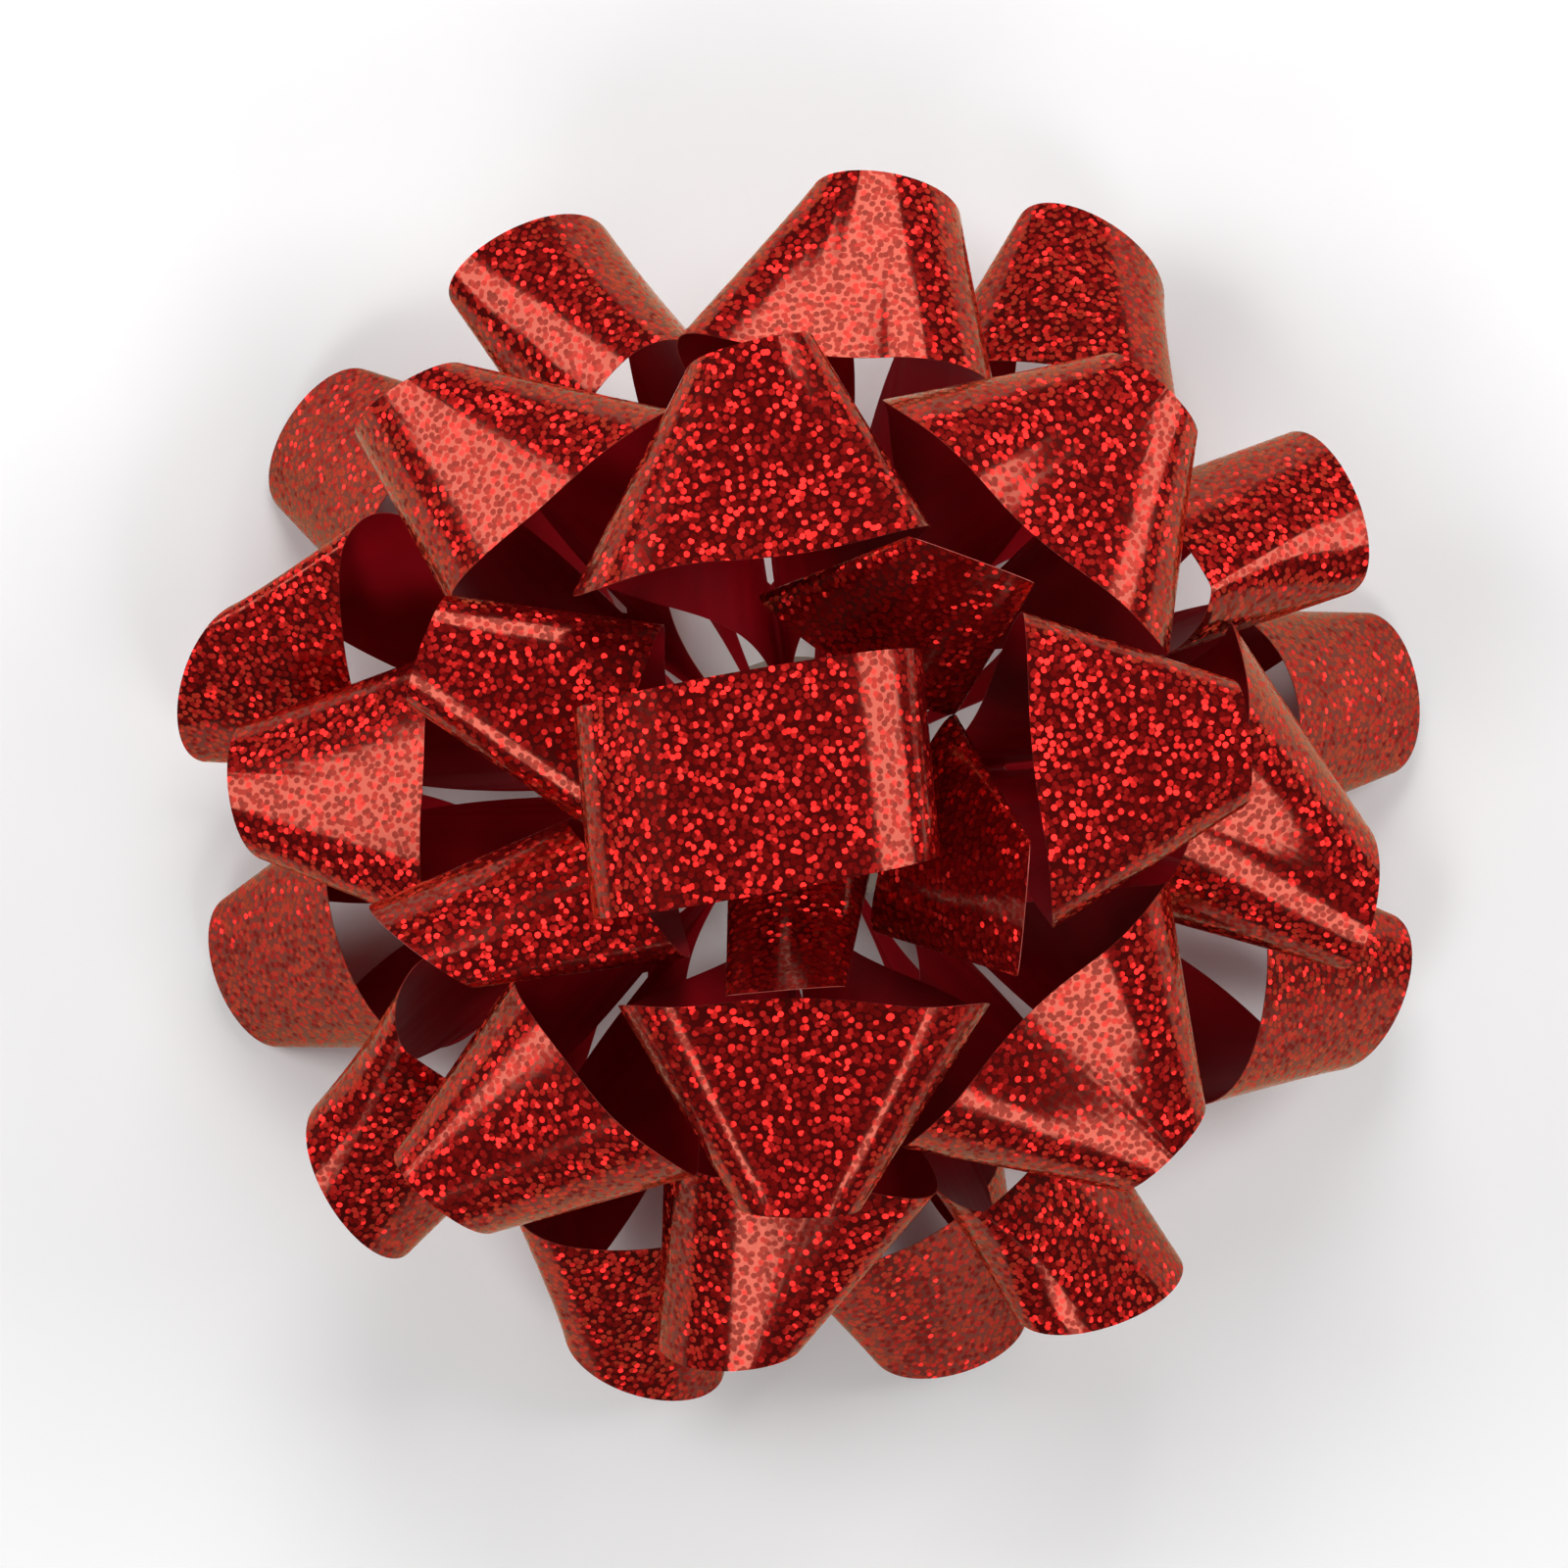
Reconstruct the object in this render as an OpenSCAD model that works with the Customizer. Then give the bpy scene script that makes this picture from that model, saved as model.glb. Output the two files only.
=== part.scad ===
// Gift bow: layers of ribbon loops gathered round a hub on a peel-and-stick base.
// Base face at z = 0, hub axis along z, face of the bow towards +z. Millimetres and degrees.

/* [Ribbon] */
// Width of the ribbon
ribbon_width = 38; // [34:1:40]
// Thickness of the ribbon film
film = 0.16; // [0.1:0.02:0.3]
// Distance from the hub to the narrow end of a loop, before each loop's own difference
reach = 116; // [106:1:124]

/* [Hub] */
// Radius of the core that the loops are gathered round
core_r = 8.5; // [7:0.5:10]
// Space left between the core and the folds of the loops
seat_gap = 0.5; // [0.4:0.1:0.8]
// Height of the lowest layer's middle above the card
hub_rise = 5; // [4.5:0.5:8]
// Radius of the collar at the core's foot
collar_r = 12; // [11:0.5:16]
// Radius of the rivet's stem
rivet_r = 2; // [1.5:0.1:3]
// How far the stem reaches into the core
rivet_reach = 8; // [5:0.5:9]
// Radius of the rivet's head
rivet_head_r = 5; // [4:0.25:6]
// Thickness of the rivet's head
rivet_head_t = 1.2; // [0.8:0.1:1.8]
// Space round the stem in the card and in the core
stem_gap = 0.1; // [0.05:0.05:0.3]

/* [Base] */
// Radius of the card
card_r = 24; // [20:1:32]
// Thickness of the card
card_t = 2; // [1:0.25:3]
// Radius of the foam pad
foam_r = 22; // [16:1:28]
// Thickness of the foam pad
foam_t = 4; // [2.5:0.5:6]
// Space between the rivet's head and the foam round it
head_gap = 2; // [0.5:0.5:4]
// Thickness of the release liner
liner_t = 0.15; // [0.1:0.05:0.3]
// Length of the liner's pull tab past the foam
tab_length = 8; // [4:1:14]
// Width of the pull tab
tab_width = 14; // [8:1:20]

/* [Hidden] */
$fn = 72;

// Sections of ribbon in one loop
sections = 48;
// Places of the sections along a loop: one at the bend of the fold, and the rest from tail to tail
turns = [-180, for (i = [0:sections - 2]) -179.99 + 359.98 * i / (sections - 2)];
// Levels of the base, from the liner up
foam_z = liner_t;
card_z = foam_z + foam_t;
card_top = card_z + card_t;
hub_z = card_top + hub_rise;
// Half the space between the two tails of a loop at its fold, where the film bends round
bend = 0.07 * core_r;
// Fold of a loop: its inner edge beside the core, its outer edge one ribbon away
fold_r = core_r + seat_gap + bend;
fold_far = fold_r + ribbon_width;

// Layers of loops: [lift of the layer's middle above the lowest in core radii, angle of the fold,
// angle of the narrow end, angle kept for the ribbon's width, how late the wide edge rises,
// side swing of the narrow edge, fullness of the sides]
layer_1 = [0, -6, -5, 17, 2, 8, 0.6];
layer_2 = [0.06, -7, -3, 17, 2, 8, 0.6];
layer_3 = [0.18, -9, 0, 17, 2, 8, 0.6];
layer_4 = [0.3, -10, 0, 17, 1.5, 7, 0.6];
layer_5 = [0.53, -11, 0, 19, 1.2, 6, 0.6];
layer_6 = [0.53, -9, -1, 19, 0.8, 6, 0.6];
layer_7 = [0.53, -4, -1, 10, 2, 6, 0.3];
dome_lift = layer_7[0] * core_r;
// Steepest droop of a fold in the lowest layer
fold_droop = 4;

film_red = [0.72, 0.05, 0.06];

// Along a loop p runs from -180 at the fold through 0 at the crown to 180 at the fold again.
// crown() is 1 at the crown and 0 at the fold; sway() is the side movement, 1 at its widest.
function crown(p) = max(cos(p / 2), 0);
function swing(p) = sin(p) * (0.35 + 0.65 * pow(crown(p), 1.4));
widest = max([for (p = [0:5:180]) swing(p)]);
function sway(p) = swing(p) / widest;
function aim(up, side) = [cos(up) * cos(side), cos(up) * sin(side), sin(up)];
function unit(v) = v / norm(v);

// Angle that the ribbon's width rises through at the crown: what the layer keeps for it, less the lean
function rise(layer, top, lean) =
    let (span = min(layer[3], asin(0.99 * ribbon_width / top)))
    sqrt(max(span * span - lean * lean, 1));

// Direction from the hub to a point of the narrow edge, and of the wide edge with its own swing on each side
function narrow_aim(layer, lean, roll, p) =
    let (c = pow(crown(p), 2))
    aim(layer[1] + (layer[2] - layer[1]) * c + roll * sway(p), layer[5] * sway(p) + lean / 2 * c);
function wide_aim(layer, lean, roll, right, left, top, p) =
    let (c = pow(crown(p), layer[4]))
    aim(layer[1] + (layer[2] + rise(layer, top, lean) - layer[1]) * c + roll * sway(p),
        (p > 0 ? left : right) * sway(p) - lean / 2 * c);

// The narrow edge swings out to the loop's top; the wide edge lies one ribbon's width from it all along
function narrow_r(layer, top, p) = fold_far + (top - fold_far) * pow(crown(p), layer[6]);
function wide_r(layer, lean, roll, right, left, top, p) =
    let (r = narrow_r(layer, top, p))
    let (c = narrow_aim(layer, lean, roll, p) * wide_aim(layer, lean, roll, right, left, top, p))
    let (q = ribbon_width * ribbon_width - r * r * max(1 - c * c, 0))
    r * c - sqrt((q + sqrt(q * q + pow(0.3 * ribbon_width, 4))) / 2);
// Tails of a loop stand a little apart, and the bend between them lies nearer the core
function apart(p) =
    p == -180 ? [-bend, 0, 0] : [0, sign(p) * bend * (1 - pow(crown(p), 2)), 0];
function side_narrow(layer, lean, roll, top, p) =
    narrow_r(layer, top, p) * narrow_aim(layer, lean, roll, p) + apart(p);
function side_wide(layer, lean, roll, right, left, top, p) =
    wide_r(layer, lean, roll, right, left, top, p)
        * wide_aim(layer, lean, roll, right, left, top, p) + apart(p);

// The middle loop stands up with both edges alike, pinched in towards its fold over the core
centre_pinch = 16;
centre_swing = 19;
centre_turn = -5;
centre_bend = 0.12 * core_r;
centre_r = core_r + 2 * seat_gap + centre_bend;
function centre_edge(side, lean, top, p) =
    let (c = pow(crown(p), 0.4))
    let (half = centre_pinch + (asin(ribbon_width / 2 / top) - centre_pinch) * c)
    (centre_r + (top - centre_r) * pow(crown(p), 0.75))
        * aim(side * half, centre_swing * sway(p) + (side * lean / 2 + centre_turn) * c)
        + (p == -180 ? [-centre_bend, 0, 0] : [0, sign(p) * centre_bend * (1 - c), 0]);

// Strip of film between two edges, each a ring of points, given its thickness square to its surface
function face_dir(edge, across, i) =
    let (n = len(edge))
    unit(cross(edge[(i + 1) % n] - edge[(i + n - 1) % n], across[i]));
module strip(narrow, wide) {
    n = len(narrow);
    across = wide - narrow;
    points = [
        for (i = [0:n - 1])
            let (a = face_dir(narrow, across, i) * film / 2)
            let (b = face_dir(wide, across, i) * film / 2)
            each [narrow[i] + a, wide[i] + b, wide[i] - b, narrow[i] - a]
    ];
    // both faces are split along the same diagonal, so that the film is as thick where it twists
    faces = [
        for (i = [0:n - 1])
            for (j = [0:3])
                let (a = 4 * i + j)
                let (b = 4 * i + (j + 1) % 4)
                let (c = 4 * ((i + 1) % n) + (j + 1) % 4)
                let (d = 4 * ((i + 1) % n) + j)
                each j == 2 ? [[a, b, d], [b, c, d]] : [[a, b, c], [a, c, d]]
    ];
    polyhedron(points, faces, convexity = 6);
}

// A loop of a layer: compass angle, tilt up from the base, lean and roll of the crown, difference in reach
// in percent, swing of the wide edge to the right and to the left
module side_loop(layer, compass, tilt, lean, roll, longer, right, left) {
    top = reach * (1 + longer / 100);
    color(film_red)
        translate([0, 0, hub_z + layer[0] * core_r])
            rotate([0, -tilt, compass])
                strip([for (p = turns) side_narrow(layer, lean, roll, top, p)],
                    [for (p = turns) side_wide(layer, lean, roll, right, left, top, p)]);
}

module loop_1a() { side_loop(layer_1, 9, 2, 0, 0, 1, 16, 15); }
module loop_1b() { side_loop(layer_1, -76, 3, 4, -3, -2, 18, 17); }
module loop_1c() { side_loop(layer_1, -161, 2, 0, -2, -1, 18, 18); }
module loop_1d() { side_loop(layer_1, 144, 3, 0, -3, 1, 18, 15); }
module loop_2a() { side_loop(layer_2, 58, 6, 8, 0, 2.5, 15, 18); }
module loop_2b() { side_loop(layer_2, -22, 5, 5, 0, 2.5, 17, 16); }
module loop_2c() { side_loop(layer_2, -108, 4, 8, -4, 1, 16, 16); }
module loop_2d() { side_loop(layer_2, 166, 9, 11, -6, 0, 16, 16); }
module loop_3a() { side_loop(layer_3, 27, 16, 2, -3, 2, 6, 16); }
module loop_3b() { side_loop(layer_3, -62, 16, 8, -5, 2, 7, 16); }
module loop_3c() { side_loop(layer_3, -141, 14, 9, -5, 2, 10, 17); }
module loop_3d() { side_loop(layer_3, 115, 14, 7, 1, 1, 11, 13); }
module loop_4a() { side_loop(layer_4, 80, 21, 4, 0, 2.5, 14, 24); }
module loop_4b() { side_loop(layer_4, -9, 25, -6, 0, 0, 12, 23); }
module loop_4c() { side_loop(layer_4, -97, 23, 0, 3, -1, 12, 22); }
module loop_4d() { side_loop(layer_4, -178, 19, -4, 2, -6, 22, 17); }
module loop_5a() { side_loop(layer_5, 48, 33, 0, 0, -2, 21, 22); }
module loop_5b() { side_loop(layer_5, -45, 34, 0, 0, -3.5, 21, 22); }
module loop_5c() { side_loop(layer_5, -129, 32, -5, 0, 0, 15, 16); }
module loop_5d() { side_loop(layer_5, 135, 30, 1, -3, 0, 19, 15); }
module loop_6a() { side_loop(layer_6, 98, 48, -3, 1, -2, 20, 21); }
module loop_6b() { side_loop(layer_6, 5, 47, 1, 0, -2.5, 18, 18); }
module loop_6c() { side_loop(layer_6, -90, 48, 0, 0, -5, 21, 22); }
module loop_6d() { side_loop(layer_6, -156, 46, -2, 5, -10, 10, 15); }
module loop_6e() { side_loop(layer_6, 160, 48, 0, 0, -11, 15, 16); }
module loop_7a() { side_loop(layer_7, 54, 64, -2, 2, -7, 13, 19); }
module loop_7b() { side_loop(layer_7, -29, 66, 0, 3, -10, 14, 20); }
module loop_7c() { side_loop(layer_7, -94, 70, 0, 1, -15, 11, 13); }

module loop_centre() {
    top = reach * 0.93;
    color(film_red)
        translate([0, 0, hub_z + dome_lift])
            rotate([0, -91, -80])
                strip([for (p = turns) centre_edge(1, 2, top, p)],
                    [for (p = turns) centre_edge(-1, 2, top, p)]);
}

// Round core with a domed top for the upper folds and a collar under the lowest ones
module hub_core() {
    collar_top = hub_z - collar_r * sin(fold_droop) - film / 2 - seat_gap;
    dome_z = hub_z + dome_lift;
    color([0.86, 0.85, 0.82])
        difference() {
            union() {
                translate([0, 0, card_top]) cylinder(r = core_r, h = dome_z - card_top);
                translate([0, 0, card_top]) cylinder(r = collar_r, h = collar_top - card_top);
                translate([0, 0, dome_z])
                    rotate_extrude()
                        intersection() {
                            circle(r = core_r);
                            square(core_r);
                        }
            }
            translate([0, 0, card_top - 1])
                cylinder(r = rivet_r + stem_gap, h = rivet_reach + 1 + stem_gap);
        }
}

// Rivet with a low domed head that sits in the middle of the foam pad
module hub_rivet() {
    head_curve = (rivet_head_r * rivet_head_r + rivet_head_t * rivet_head_t) / (2 * rivet_head_t);
    color([0.9, 0.9, 0.88]) {
        translate([0, 0, card_z]) cylinder(r = rivet_r, h = card_t + rivet_reach);
        translate([0, 0, card_z])
            rotate_extrude()
                intersection() {
                    translate([0, -rivet_head_t]) square([rivet_head_r, rivet_head_t]);
                    translate([0, head_curve - rivet_head_t]) circle(r = head_curve);
                }
    }
}

// Stiff card disc with a hole for the rivet
module base_card() {
    color([0.78, 0.74, 0.66])
        translate([0, 0, card_z])
            difference() {
                cylinder(r = card_r, h = card_t);
                translate([0, 0, -1]) cylinder(r = rivet_r + stem_gap, h = card_t + 2);
            }
}

// Double-sided adhesive foam, open in the middle for the rivet's head
module foam_pad() {
    color([0.95, 0.95, 0.93])
        translate([0, 0, foam_z])
            difference() {
                cylinder(r = foam_r, h = foam_t);
                translate([0, 0, -1]) cylinder(r = rivet_head_r + head_gap, h = foam_t + 2);
            }
}

// Waxed paper over the adhesive, with a round-ended tab to pull it off by
module release_liner() {
    color([0.93, 0.9, 0.8])
        linear_extrude(height = liner_t)
            union() {
                circle(r = foam_r);
                translate([-tab_width / 2, -foam_r - tab_length + tab_width / 2])
                    square([tab_width, foam_r + tab_length - tab_width / 2]);
                translate([0, -foam_r - tab_length + tab_width / 2]) circle(r = tab_width / 2);
            }
}

loop_1a();
loop_1b();
loop_1c();
loop_1d();
loop_2a();
loop_2b();
loop_2c();
loop_2d();
loop_3a();
loop_3b();
loop_3c();
loop_3d();
loop_4a();
loop_4b();
loop_4c();
loop_4d();
loop_5a();
loop_5b();
loop_5c();
loop_5d();
loop_6a();
loop_6b();
loop_6c();
loop_6d();
loop_6e();
loop_7a();
loop_7b();
loop_7c();
loop_centre();
hub_core();
hub_rivet();
base_card();
foam_pad();
release_liner();
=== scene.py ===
# Pre-made gift bow: loops of dotted foil ribbon round a moulded core, on a card base with a foam pad
import bpy
import numpy as np
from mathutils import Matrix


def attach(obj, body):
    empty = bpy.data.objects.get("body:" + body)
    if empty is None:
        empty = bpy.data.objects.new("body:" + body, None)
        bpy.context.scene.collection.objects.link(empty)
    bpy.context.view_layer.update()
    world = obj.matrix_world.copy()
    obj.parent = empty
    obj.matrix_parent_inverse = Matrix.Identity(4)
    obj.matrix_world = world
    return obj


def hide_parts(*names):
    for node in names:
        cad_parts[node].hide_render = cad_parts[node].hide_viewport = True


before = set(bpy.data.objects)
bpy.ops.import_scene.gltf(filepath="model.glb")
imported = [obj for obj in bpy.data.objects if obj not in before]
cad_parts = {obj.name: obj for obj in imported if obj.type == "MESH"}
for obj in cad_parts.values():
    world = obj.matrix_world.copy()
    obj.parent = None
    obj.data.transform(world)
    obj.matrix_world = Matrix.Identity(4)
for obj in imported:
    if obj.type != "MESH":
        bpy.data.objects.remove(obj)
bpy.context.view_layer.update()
scene = bpy.context.scene
mm = 0.001
print("frame loaded:", len(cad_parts), "nodes")


def fromHex(code):  # sRGB hex to linear, with alpha 1
    srgb = np.array([int(code[i:i + 2], 16) for i in (0, 2, 4)]) / 255
    linear = np.where(srgb > 0.04045, ((srgb + 0.055) / 1.055) ** 2.4, srgb / 12.92)
    return (*linear.tolist(), 1.0)


def newMaterial(name):  # empty node tree with only its output
    mat = bpy.data.materials.new(name)
    mat.use_nodes = True
    mat.node_tree.nodes.clear()
    return mat


def add(mat, kind, put=None, **settings):  # one node: its own settings, then a value or a link for each socket
    tree = mat.node_tree
    node = tree.nodes.new(kind)
    for name, value in settings.items():
        setattr(node, name, value)
    for socket, value in (put or {}).items():
        if isinstance(value, bpy.types.NodeSocket):
            tree.links.new(value, node.inputs[socket])
        else:
            node.inputs[socket].default_value = value
    return node


# Camera square above the bow, as the photograph has it; the picture's upper edge is +Y
view = dict(place=(-2.75, 0.2, 1300), lens=159.2, sensor=36)
eye = bpy.data.cameras.new("eye")
eye.lens = view["lens"]
eye.sensor_width = view["sensor"]
eye.clip_end = 10
eyeObject = bpy.data.objects.new("eye", eye)
eyeObject.location = [x * mm for x in view["place"]]
scene.collection.objects.link(eyeObject)
scene.camera = eyeObject

# Ribbon: every loop is one strip, straight across its width, between a narrow and a wide edge. Bend is a share of
# the core's radius; flush and soften are shares of the width that keep the wide edge within reach and smooth
ribbon = dict(width=38, film=0.16, reach=116, core=8.5, gap=0.5, bend=0.07, flush=0.99, soften=0.3, hubUp=11.15,
              around=288, across=8)
# layer: lift in core radii, angle of the fold, angle of the narrow edge, rise of the wide edge, how late it
# rises, swing of the narrow edge, fullness
layers = dict(
    loop_1=(0, -6, -5, 17, 2, 8, 0.6),
    loop_2=(0.06, -7, -3, 17, 2, 8, 0.6),
    loop_3=(0.18, -9, 0, 17, 2, 8, 0.6),
    loop_4=(0.3, -10, 0, 17, 1.5, 7, 0.6),
    loop_5=(0.53, -11, 0, 19, 1.2, 6, 0.6),
    loop_6=(0.53, -9, -1, 19, 0.8, 6, 0.6),
    loop_7=(0.53, -4, -1, 10, 2, 6, 0.3),
)
# loop: compass angle, tilt up, lean, roll, difference in reach in percent, swing of the wide edge right and left
loops = dict(
    loop_1a=(9, 2, 0, 0, 1, 16, 15),
    loop_1b=(-76, 3, 4, -3, -2, 18, 17),
    loop_1c=(-161, 2, 0, -2, -1, 18, 18),
    loop_1d=(144, 3, 0, -3, 1, 18, 15),
    loop_2a=(58, 6, 8, 0, 2.5, 15, 18),
    loop_2b=(-22, 5, 5, 0, 2.5, 17, 16),
    loop_2c=(-108, 4, 8, -4, 1, 16, 16),
    loop_2d=(166, 9, 11, -6, 0, 16, 16),
    loop_3a=(27, 16, 2, -3, 2, 6, 16),
    loop_3b=(-62, 16, 8, -5, 2, 7, 16),
    loop_3c=(-141, 14, 9, -5, 2, 10, 17),
    loop_3d=(115, 14, 7, 1, 1, 11, 13),
    loop_4a=(80, 21, 4, 0, 2.5, 14, 24),
    loop_4b=(-9, 25, -6, 0, 0, 12, 23),
    loop_4c=(-97, 23, 0, 3, -1, 12, 22),
    loop_4d=(-178, 19, -4, 2, -6, 22, 17),
    loop_5a=(48, 33, 0, 0, -2, 21, 22),
    loop_5b=(-45, 34, 0, 0, -3.5, 21, 22),
    loop_5c=(-129, 32, -5, 0, 0, 15, 16),
    loop_5d=(135, 30, 1, -3, 0, 19, 15),
    loop_6a=(98, 48, -3, 1, -2, 20, 21),
    loop_6b=(5, 47, 1, 0, -2.5, 18, 18),
    loop_6c=(-90, 48, 0, 0, -5, 21, 22),
    loop_6d=(-156, 46, -2, 5, -10, 10, 15),
    loop_6e=(160, 48, 0, 0, -11, 15, 16),
    loop_7a=(54, 64, -2, 2, -7, 13, 19),
    loop_7b=(-29, 66, 0, 3, -10, 14, 20),
    loop_7c=(-94, 70, 0, 1, -15, 11, 13),
)


def swingOf(p):  # sideways swing of the strip: out and back, quicker near the crown
    return np.sin(p) * (0.35 + 0.65 * np.clip(np.cos(p / 2), 0, 1) ** 1.4)


swingMost = swingOf(np.radians(np.arange(0, 181, 5))).max()


def aim(up, side):  # unit direction from the hub, angles in degrees
    up, side = np.radians(up), np.radians(side)
    return np.stack([np.cos(up) * np.cos(side), np.cos(up) * np.sin(side), np.sin(up)], -1)


def apart(p, bend, c):  # tails stand a little apart at the fold, and the film bends round between them
    tip = p == p[0]
    return np.stack([np.where(tip, -bend, 0), np.where(tip, 0, np.sign(p) * bend * (1 - c)), 0 * p], -1)


def sideEdges(layer, lean, roll, longer, right, left, p):
    # narrow edge = rN * direction(p); the wide edge lies on its own direction, one ribbon width away
    lift, fold, narrow, window, late, narrowSwing, fullness = layer
    w, top, bend = ribbon["width"], ribbon["reach"] * (1 + longer / 100), ribbon["bend"] * ribbon["core"]
    far = ribbon["core"] + bend + ribbon["gap"] + w
    crown = np.clip(np.cos(p / 2), 0, 1)
    c, cWide, sway = crown ** 2, crown ** late, swingOf(p) / swingMost
    span = min(window, np.degrees(np.arcsin(ribbon["flush"] * w / top)))
    rise = np.sqrt(max(span ** 2 - lean ** 2, 1))
    wideSwing = np.where(p > 0, left, right) * sway
    narrowAim = aim(fold + (narrow - fold) * c + roll * sway, narrowSwing * sway + lean / 2 * c)
    wideAim = aim(fold + (narrow + rise - fold) * cWide + roll * sway, wideSwing - lean / 2 * cWide)
    rN = far + (top - far) * crown ** fullness
    k = (narrowAim * wideAim).sum(-1)
    q = w ** 2 - rN ** 2 * np.clip(1 - k ** 2, 0, None)
    rW = rN * k - np.sqrt((q + np.sqrt(q ** 2 + (ribbon["soften"] * w) ** 4)) / 2)
    shift = apart(p, bend, c)
    return rN[:, None] * narrowAim + shift, rW[:, None] * wideAim + shift


# Loop on top: reach and bend as shares of the others' reach and of the core's radius, angles in degrees
centre = dict(compass=-80, tilt=91, reach=0.93, bend=0.12, pinch=16, swing=19, turn=-5, lean=2, open=0.4,
              fullness=0.75)


def centreEdges(p):
    # both edges = (fold + rise of the loop) * direction(+-half angle), pinched in towards the fold
    w, top, bend = ribbon["width"], ribbon["reach"] * centre["reach"], centre["bend"] * ribbon["core"]
    near = ribbon["core"] + 2 * ribbon["gap"] + bend
    crown = np.clip(np.cos(p / 2), 0, 1)
    c, sway = crown ** centre["open"], centre["swing"] * swingOf(p) / swingMost
    half = centre["pinch"] + (np.degrees(np.arcsin(w / 2 / top)) - centre["pinch"]) * c
    r = (near + (top - near) * crown ** centre["fullness"])[:, None]
    shift = apart(p, bend, c)
    across = [sway + (side * centre["lean"] / 2 + centre["turn"]) * c for side in (-1, 1)]
    return [r * aim(-half, across[0]) + shift, r * aim(half, across[1]) + shift]


def turned(points, tilt, compass, up):  # tip up about Y, turn about Z, lift to the hub
    t, a = np.radians(tilt), np.radians(compass)
    tip = np.array([[np.cos(t), 0, -np.sin(t)], [0, 1, 0], [np.sin(t), 0, np.cos(t)]])
    spin = np.array([[np.cos(a), -np.sin(a), 0], [np.sin(a), np.cos(a), 0], [0, 0, 1]])
    return points @ (spin @ tip).T + np.array([0, 0, up])


def unit(v):
    return v / np.maximum(np.linalg.norm(v, axis=-1, keepdims=True), 1e-9)


def angleOf(a, b):
    return np.arctan2(np.linalg.norm(np.cross(a, b), axis=-1), (a * b).sum(-1))


def unrolled(narrow, wide):
    # lays the strip out flat: each rib keeps its length and its angle to the edge, and the angles add up
    rib, nextRib = (wide - narrow)[:-1], (wide - narrow)[1:]
    step = narrow[1:] - narrow[:-1]
    before, after = angleOf(rib, step), angleOf(nextRib, -step)
    heading = np.concatenate([[np.pi / 2], np.pi / 2 - np.cumsum(before + after - np.pi)])
    move = np.linalg.norm(step, axis=-1)
    at = np.stack([move * np.cos(heading[:-1] - before), move * np.sin(heading[:-1] - before)], -1)
    foot = np.concatenate([[[0, 0]], np.cumsum(at, 0)])
    return foot, np.stack([np.cos(heading), np.sin(heading)], -1) * np.linalg.norm(wide - narrow, axis=-1)[:, None]


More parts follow.
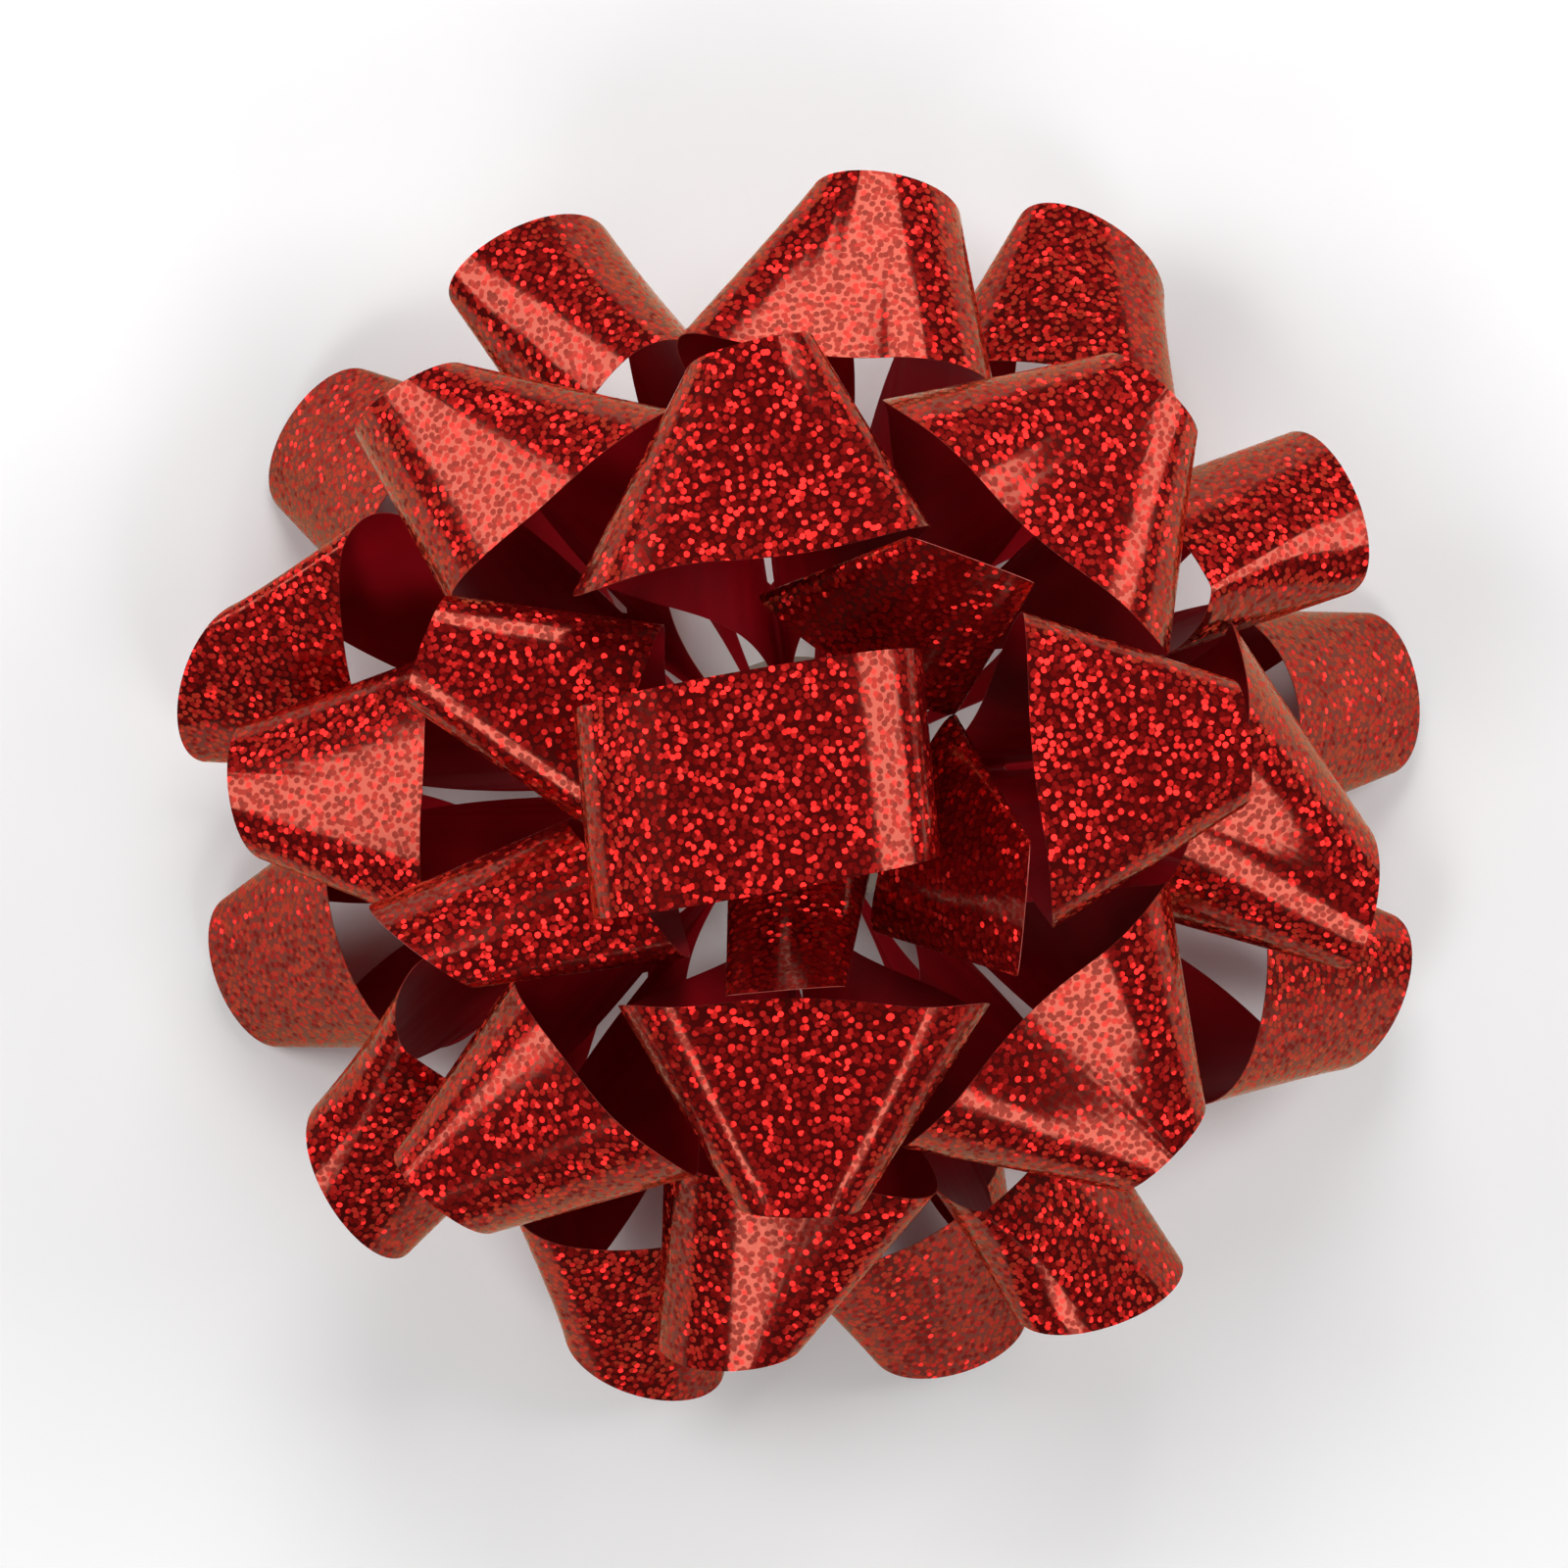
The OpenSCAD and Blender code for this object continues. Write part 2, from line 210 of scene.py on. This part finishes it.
def stripMesh(name, narrow, wide):
    # point(p, t) = narrow + t * (wide - narrow), then half the film out and half in along the normal
    around, across = len(narrow), ribbon["across"]
    t = np.linspace(0, 1, across + 1)[None, :, None]
    middle = narrow[:, None] + t * (wide - narrow)[:, None]
    along = np.roll(middle, -1, 0) - np.roll(middle, 1, 0)
    normal = unit(np.cross(along, (wide - narrow)[:, None] + 0 * middle))
    half = ribbon["film"] / 2
    points = np.concatenate([(middle + half * normal).reshape(-1, 3), (middle - half * normal).reshape(-1, 3)]) * mm
    i, j = np.meshgrid(np.arange(around), np.arange(across), indexing="ij")
    n, k = across + 1, (i + 1) % around
    a, b, c, d = i * n + j, k * n + j, k * n + j + 1, i * n + j + 1
    back = around * n
    outer = np.stack([a, b, c, d], -1).reshape(-1, 4)
    inner = np.stack([a, d, c, b], -1).reshape(-1, 4) + back
    row, nextRow = np.arange(around) * n, (np.arange(around) + 1) % around * n
    low = np.stack([row, row + back, nextRow + back, nextRow], -1)
    high = np.stack([row, nextRow, nextRow + back, row + back], -1) + across
    faces = np.concatenate([outer, inner, low, high])
    finish = np.repeat([0, 1, 2], [len(outer), len(inner), len(low) + len(high)])
    mesh = bpy.data.meshes.new(name)
    mesh.from_pydata(points, [], faces)
    mesh.polygons.foreach_set("material_index", finish)
    mesh.polygons.foreach_set("use_smooth", finish < 2)
    ends = np.empty(2 * len(mesh.edges), int)
    mesh.edges.foreach_get("vertices", ends)
    column = ends.reshape(-1, 2) % n
    mesh.edges.foreach_set("use_edge_sharp", (column == 0).all(1) | (column == across).all(1))
    # flat layout in metres for the dots; ribs for the streaks: x along the strip, y across it
    foot, reachOut = unrolled(np.concatenate([narrow, narrow[:1]]), np.concatenate([wide, wide[:1]]))
    flat = foot[:, None] + t * reachOut[:, None]
    length = np.concatenate([[0], np.cumsum(np.linalg.norm(np.roll(middle, -1, 0) - middle, axis=-1).mean(1))])
    rib = np.stack(np.broadcast_arrays(length[:, None], t[:, :, 0] * ribbon["width"]), -1)
    outerStep, innerStep = np.stack([i, i + 1, i + 1, i], -1), np.stack([i, i, i + 1, i + 1], -1)
    outerSide, innerSide = np.stack([j, j, j + 1, j + 1], -1), np.stack([j, j + 1, j + 1, j], -1)
    step = np.concatenate([outerStep.reshape(-1, 4), innerStep.reshape(-1, 4)])
    side = np.concatenate([outerSide.reshape(-1, 4), innerSide.reshape(-1, 4)])
    s = np.arange(around)
    edgeStep = np.concatenate([np.stack([s, s, s + 1, s + 1], -1), np.stack([s, s + 1, s + 1, s], -1)])
    edgeSide = np.repeat([0, across], [around, around])[:, None] + 0 * edgeStep
    step, side = np.concatenate([step, edgeStep]).ravel(), np.concatenate([side, edgeSide]).ravel()
    for layerName, table in (("flat", flat), ("rib", rib)):
        mesh.uv_layers.new(name=layerName).data.foreach_set("uv", (table[step, side] * mm).ravel())
    mesh.validate()
    area = np.linalg.norm(np.cross(np.roll(middle, -1, 0)[:, :-1] - middle[:, :-1],
                                   middle[:, 1:] - middle[:, :-1]), axis=-1).sum() * mm * mm
    return mesh, area


# Metallised film, dyed red, lacquered and embossed with small round dots: each dot mirrors its own way, so dots
# glint in the dark parts, while the plain film between them shows as a salmon net in the highlights. Sizes in mm
foil = dict(dot=1.15, pitch=1.2, tilt=1.1, film="720a0e", dots="d21c1c", cover=0.68, gloss="ffefc2",
            streak=5.0, streakLength=90)
foilOuter = newMaterial("dottedRedFoil")
flatMap = add(foilOuter, "ShaderNodeUVMap", uv_map="flat").outputs["UV"]
ribMap = add(foilOuter, "ShaderNodeUVMap", uv_map="rib").outputs["UV"]
cells = add(foilOuter, "ShaderNodeTexVoronoi", voronoi_dimensions="2D", feature="F1",
            put={"Vector": flatMap, "Scale": 1 / (foil["pitch"] * mm), "Randomness": 1.0})
radius = foil["dot"] / 2 / foil["pitch"]
dotMask = add(foilOuter, "ShaderNodeMapRange", interpolation_type="SMOOTHSTEP",
              put={"Value": cells.outputs["Distance"], "From Min": radius * 1.08, "From Max": radius * 0.92})
lean = add(foilOuter, "ShaderNodeVectorMath", operation="MULTIPLY_ADD",
           put={0: cells.outputs["Color"], 1: (foil["tilt"], foil["tilt"], 0),
                2: (-foil["tilt"] / 2, -foil["tilt"] / 2, 0)})
leanDots = add(foilOuter, "ShaderNodeVectorMath", operation="SCALE",
               put={0: lean.outputs["Vector"], "Scale": dotMask.outputs["Result"]})
ribStretch = add(foilOuter, "ShaderNodeMapping",
                 put={"Vector": ribMap,
                      "Scale": (1 / (foil["streak"] * mm), 1 / (foil["streakLength"] * mm), 1)})
streaks = add(foilOuter, "ShaderNodeTexNoise", noise_dimensions="2D",
              put={"Vector": ribStretch.outputs["Vector"], "Scale": 1.0, "Detail": 2.0, "Roughness": 0.5})
streakBump = add(foilOuter, "ShaderNodeBump",
                 put={"Height": streaks.outputs["Fac"], "Strength": 0.1, "Distance": 0.0012})
towards = add(foilOuter, "ShaderNodeVectorMath", operation="ADD",
              put={0: leanDots.outputs["Vector"], 1: (0.5, 0.5, 1.0)})
dotNormal = add(foilOuter, "ShaderNodeNormalMap", space="TANGENT", uv_map="flat",
                put={"Color": towards.outputs["Vector"], "Strength": 1.0})
bent = add(foilOuter, "ShaderNodeVectorMath", operation="ADD",
           put={0: dotNormal.outputs["Normal"], 1: streakBump.outputs["Normal"]})
bentUnit = add(foilOuter, "ShaderNodeVectorMath", operation="NORMALIZE", put={0: bent.outputs["Vector"]})
gloss = {"Specular IOR Level": 1.0, "Specular Tint": fromHex(foil["gloss"])}
filmShine = add(foilOuter, "ShaderNodeBsdfPrincipled",
                put={**gloss, "Base Color": fromHex(foil["film"]), "Metallic": 0.62, "Roughness": 0.13,
                     "Normal": streakBump.outputs["Normal"]})
dotShine = add(foilOuter, "ShaderNodeBsdfPrincipled",
               put={**gloss, "Base Color": fromHex(foil["dots"]), "Metallic": 0.9, "Roughness": 0.28,
                    "Normal": bentUnit.outputs["Vector"]})
cover = add(foilOuter, "ShaderNodeMath", operation="MULTIPLY",
            put={0: dotMask.outputs["Result"], 1: foil["cover"]})
shine = add(foilOuter, "ShaderNodeMixShader",
            put={0: cover.outputs[0], 1: filmShine.outputs["BSDF"], 2: dotShine.outputs["BSDF"]})
add(foilOuter, "ShaderNodeOutputMaterial", put={"Surface": shine.outputs["Shader"]})

# Back of the film: satin, deep maroon, with faint creases along the ribs where the film has bent, painted darker in
# their hollows as shade
backing = dict(tone="b0061a", creaseShade="8a0412", streak=7.0, streakLength=120)
foilInner = newMaterial("satinMaroonBacking")
ribMap = add(foilInner, "ShaderNodeUVMap", uv_map="rib").outputs["UV"]
ribStretch = add(foilInner, "ShaderNodeMapping",
                 put={"Vector": ribMap,
                      "Scale": (1 / (backing["streak"] * mm), 1 / (backing["streakLength"] * mm), 1)})
streaks = add(foilInner, "ShaderNodeTexNoise", noise_dimensions="2D",
              put={"Vector": ribStretch.outputs["Vector"], "Scale": 1.0, "Detail": 2.0})
# painted shade: the darker of the two colours lies in the hollows of the crease bump
tone = add(foilInner, "ShaderNodeMix", data_type="RGBA",
           put={"Factor": streaks.outputs["Fac"], 6: fromHex(backing["creaseShade"]), 7: fromHex(backing["tone"])})
crease = add(foilInner, "ShaderNodeBump",
             put={"Height": streaks.outputs["Fac"], "Strength": 0.25, "Distance": 0.001})
shine = add(foilInner, "ShaderNodeBsdfPrincipled",
            put={"Base Color": tone.outputs[2], "Roughness": 0.42, "Specular IOR Level": 0.2,
                 "Normal": crease.outputs["Normal"]})
add(foilInner, "ShaderNodeOutputMaterial", put={"Surface": shine.outputs["BSDF"]})

# Slit edge of the film: painted highlight, a bright salmon line far paler than the film, with duller flecks at
# random
slit = dict(tone="d8685a", dull="a83a34", step=3.0)
foilEdge = newMaterial("slitEdgePaintedHighlight")
ribMap = add(foilEdge, "ShaderNodeUVMap", uv_map="rib").outputs["UV"]
flecks = add(foilEdge, "ShaderNodeTexNoise", noise_dimensions="2D",
             put={"Vector": ribMap, "Scale": 1 / (slit["step"] * mm), "Detail": 1.0})
# painted highlight: both edge colours are much paler than the film, so the edge shows as a bright line
tone = add(foilEdge, "ShaderNodeMix", data_type="RGBA",
           put={"Factor": flecks.outputs["Fac"], 6: fromHex(slit["dull"]), 7: fromHex(slit["tone"])})
shine = add(foilEdge, "ShaderNodeBsdfPrincipled",
            put={"Base Color": tone.outputs[2], "Metallic": 0.4, "Roughness": 0.35})
add(foilEdge, "ShaderNodeOutputMaterial", put={"Surface": shine.outputs["BSDF"]})


def addPiece(mesh, finishes, body, slot, *nodes):  # object at the origin, with its place in its mesh
    piece = bpy.data.objects.new(mesh.name, mesh)
    scene.collection.objects.link(piece)
    for finish in finishes:
        mesh.materials.append(finish)
    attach(piece, body)
    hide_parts(*nodes)
    return piece


p = np.radians(np.concatenate([[-180], np.linspace(-179.99, 179.99, ribbon["around"] - 1)]))
for name, (compass, tilt, lean, roll, longer, right, left) in loops.items():
    layer = layers[name[:-1]]
    hubUp = ribbon["hubUp"] + layer[0] * ribbon["core"]
    edges = sideEdges(layer, lean, roll, longer, right, left, p)
    mesh, area = stripMesh(name.replace("loop", "ribbon"), *[turned(e, tilt, compass, hubUp) for e in edges])
    piece = addPiece(mesh, (foilOuter, foilInner, foilEdge), "bow", "ribbon_film", name)

# the centre loop shares the height of the top layer
edges = [turned(e, centre["tilt"], centre["compass"], hubUp) for e in centreEdges(p)]
mesh, area = stripMesh("ribbon_centre", *edges)
piece = addPiece(mesh, (foilOuter, foilInner, foilEdge), "bow", "ribbon_film", "loop_centre")
print("ribbon loops made:", len(loops) + 1)

# Foam pad: ring of open-cell foam with soft corners, squeezed flat against the card and the liner
pad = dict(outer=22, hole=7, low=0.15, high=4.15, corner=7, around=96, section=40, tone="f1efe6", pitShade="d8d4c6",
           cell=0.6)


def padMesh():
    # ring: section = superellipse of the wall between hole and rim, carried round the axis
    turn, section = np.meshgrid(np.linspace(0, 2 * np.pi, pad["around"], endpoint=False),
                                np.linspace(0, 2 * np.pi, pad["section"], endpoint=False), indexing="ij")
    power = 2 / pad["corner"]
    r = (pad["outer"] + pad["hole"]) / 2
    r = r + (pad["outer"] - pad["hole"]) / 2 * np.sign(np.cos(section)) * np.abs(np.cos(section)) ** power
    z = (pad["low"] + pad["high"]) / 2
    z = z + (pad["high"] - pad["low"]) / 2 * np.sign(np.sin(section)) * np.abs(np.sin(section)) ** power
    points = np.stack([r * np.cos(turn), r * np.sin(turn), z], -1).reshape(-1, 3) * mm
    i, j = np.meshgrid(np.arange(pad["around"]), np.arange(pad["section"]), indexing="ij")
    k, m, n = (i + 1) % pad["around"], (j + 1) % pad["section"], pad["section"]
    faces = np.stack([i * n + j, k * n + j, k * n + m, i * n + m], -1).reshape(-1, 4)
    mesh = bpy.data.meshes.new("foamPad")
    mesh.from_pydata(points, [], faces)
    mesh.polygons.foreach_set("use_smooth", np.ones(len(faces), bool))
    return mesh


foam = newMaterial("openCellFoam")  # chalky, full of small pits, darkened inside by painted shade
place = add(foam, "ShaderNodeTexCoord").outputs["Object"]
pits = add(foam, "ShaderNodeTexVoronoi", feature="F1", put={"Vector": place, "Scale": 1 / (pad["cell"] * mm)})
# painted shade: the darker colour fills the middle of each pit
tone = add(foam, "ShaderNodeMix", data_type="RGBA",
           put={"Factor": pits.outputs["Distance"], 6: fromHex(pad["pitShade"]), 7: fromHex(pad["tone"])})
dent = add(foam, "ShaderNodeBump", put={"Height": pits.outputs["Distance"], "Strength": 0.6, "Distance": 0.0003})
shine = add(foam, "ShaderNodeBsdfPrincipled",
            put={"Base Color": tone.outputs[2], "Roughness": 0.9, "Normal": dent.outputs["Normal"]})
add(foam, "ShaderNodeOutputMaterial", put={"Surface": shine.outputs["BSDF"]})
addPiece(padMesh(), (foam,), "bow", "foam", "foam_pad")

# Hard pieces of the base keep their solids and get their own finishes: fleck, mottle size, roughness
finishes = dict(
    hub_core=dict(name="mouldedRedPolystyrene", tones=("7a0d14", "931620"), grain=0.5, rough=0.38, dent=0.00004),
    hub_rivet=dict(name="naturalNylon", tones=("d9d4c4", "e6e2d4"), grain=0.7, rough=0.45, dent=0.00003),
    base_card=dict(name="greyBoard", tones=("a39a8c", "b9b0a1"), grain=0.9, rough=0.85, dent=0.00006),
    release_liner=dict(name="siliconedPaper", tones=("e6e1d2", "f0ecdf"), grain=1.4, rough=0.5, dent=0.00002),
)
for node, look in finishes.items():
    mat = newMaterial(look["name"])
    place = add(mat, "ShaderNodeTexCoord").outputs["Object"]
    mottle = add(mat, "ShaderNodeTexNoise",
                 put={"Vector": place, "Scale": 1 / (look["grain"] * mm), "Detail": 4.0, "Roughness": 0.65})
    tone = add(mat, "ShaderNodeMix", data_type="RGBA",
               put={"Factor": mottle.outputs["Fac"], 6: fromHex(look["tones"][0]), 7: fromHex(look["tones"][1])})
    dent = add(mat, "ShaderNodeBump",
               put={"Height": mottle.outputs["Fac"], "Strength": 0.5, "Distance": look["dent"]})
    shine = add(mat, "ShaderNodeBsdfPrincipled",
                put={"Base Color": tone.outputs[2], "Roughness": look["rough"], "Normal": dent.outputs["Normal"]})
    add(mat, "ShaderNodeOutputMaterial", put={"Surface": shine.outputs["BSDF"]})
    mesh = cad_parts[node].data
    mesh.materials.clear()
    mesh.materials.append(mat)
print("base pieces finished")

# Studio: white floor, a soft box at the picture's upper edge and at either side, two weaker ones below
room = dict(floor=6, drop=0.5, paper="f6f6f6", air="808080", glow=0.3, aimUp=0.05)  # drop in mm, the rest in m
floorMesh = bpy.data.meshes.new("floor")
half = room["floor"] / 2
floorMesh.from_pydata([(-half, -half, 0), (half, -half, 0), (half, half, 0), (-half, half, 0)], [], [(0, 1, 2, 3)])
floor = bpy.data.objects.new("floor", floorMesh)
floor.location.z = -room["drop"] * mm
scene.collection.objects.link(floor)
paper = newMaterial("whitePaperFloor")
matt = add(paper, "ShaderNodeBsdfDiffuse", put={"Color": fromHex(room["paper"])})
add(paper, "ShaderNodeOutputMaterial", put={"Surface": matt.outputs["BSDF"]})
floorMesh.materials.append(paper)

lamps = dict(  # place in metres, size, power
    top=((0.0, 0.95, 0.8), 0.56, 6.6),
    left=((-0.85, 0.3, 0.6), 0.56, 5.7),
    right=((0.85, 0.3, 0.6), 0.56, 5.7),
    lowLeft=((-0.42, -0.74, 0.85), 0.4, 3.2),
    lowRight=((0.42, -0.74, 0.85), 0.4, 3.2),
)
for name, (place, size, power) in lamps.items():
    lamp = bpy.data.lights.new(name, "AREA")
    lamp.size = size
    lamp.energy = power
    lampObject = bpy.data.objects.new(name, lamp)
    lampObject.location = place
    towards = -np.array(place) + np.array([0, 0, room["aimUp"]])
    flat = np.hypot(towards[0], towards[1])
    lampObject.rotation_euler = (np.arctan2(flat, -towards[2]), 0, np.arctan2(towards[1], towards[0]) - np.pi / 2)
    scene.collection.objects.link(lampObject)

world = bpy.data.worlds.new("studio")
scene.world = world
world.use_nodes = True
world.node_tree.nodes["Background"].inputs["Color"].default_value = fromHex(room["air"])
world.node_tree.nodes["Background"].inputs["Strength"].default_value = room["glow"]
scene.view_settings.view_transform = "Standard"
print("studio ready")
